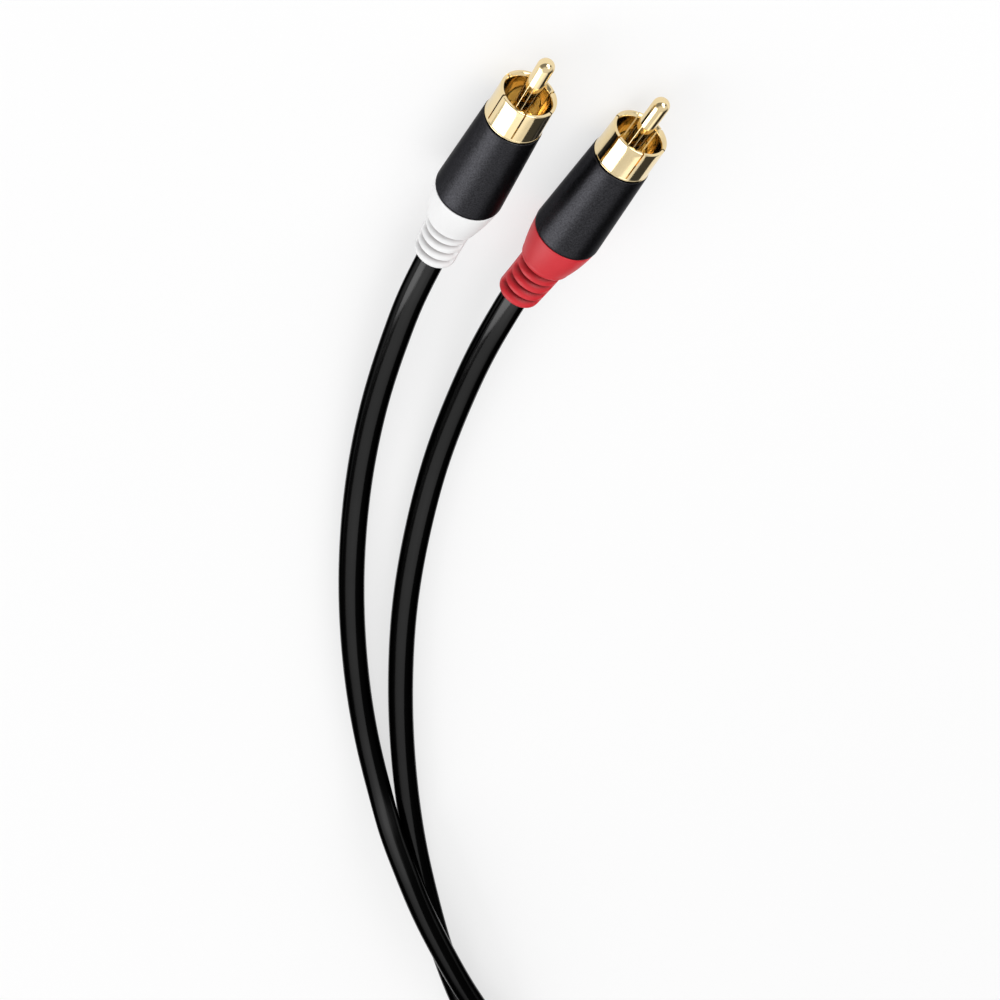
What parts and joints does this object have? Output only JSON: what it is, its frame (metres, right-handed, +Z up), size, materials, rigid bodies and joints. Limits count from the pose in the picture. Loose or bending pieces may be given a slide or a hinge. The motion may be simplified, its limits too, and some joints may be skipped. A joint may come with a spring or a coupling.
{
  "type": "audio cable",
  "caption": "Stereo phono audio cable: round black leads with gold slotted plugs, tapered black shells and ribbed white or red boots; the spare length is coiled and tied.",
  "frame": {"origin": "on the surface that the cable lies on, at the middle of the footprint of its plugs", "axes": "+Z up; the seen plugs point to -Y, and the coil of the spare length and the other plugs are at +Y"},
  "size_m": [0.0848, 0.4948, 0.0128],
  "materials": {
    "gold": "polished gold plate",
    "shell": "satin black",
    "white_boot": "smooth matte",
    "red_boot": "smooth matte",
    "jacket": "smooth",
    "insulator": "moulded",
    "tinned_metal": "tinned",
    "copper": "bare strands",
    "core": "smooth",
    "tie": "woven strap"
  },
  "bodies": {
    "root": {"white_near_centre_pin": "gold", "white_near_insulator": "insulator", "white_near_ground_ring": "gold", "white_near_ground_clamp": "tinned_metal", "white_near_conductor": "copper", "white_near_dielectric": "core", "white_near_shield": "tinned_metal", "white_near_shell": "shell", "white_near_boot": "white_boot", "red_near_centre_pin": "gold", "red_near_insulator": "insulator", "red_near_ground_ring": "gold", "red_near_ground_clamp": "tinned_metal", "red_near_conductor": "copper", "red_near_dielectric": "core", "red_near_shield": "tinned_metal", "red_near_shell": "shell", "red_near_boot": "red_boot", "white_far_centre_pin": "gold", "white_far_insulator": "insulator", "white_far_ground_ring": "gold", "white_far_ground_clamp": "tinned_metal", "white_far_conductor": "copper", "white_far_dielectric": "core", "white_far_shield": "tinned_metal", "white_far_shell": "shell", "white_far_boot": "white_boot", "red_far_centre_pin": "gold", "red_far_insulator": "insulator", "red_far_ground_ring": "gold", "red_far_ground_clamp": "tinned_metal", "red_far_conductor": "copper", "red_far_dielectric": "core", "red_far_shield": "tinned_metal", "red_far_shell": "shell", "red_far_boot": "red_boot", "white_lead": "jacket", "red_lead": "jacket", "white_tail": "jacket", "red_tail": "jacket", "lead_coil": "jacket", "coil_tie": "tie"}
  },
  "joints": []
}
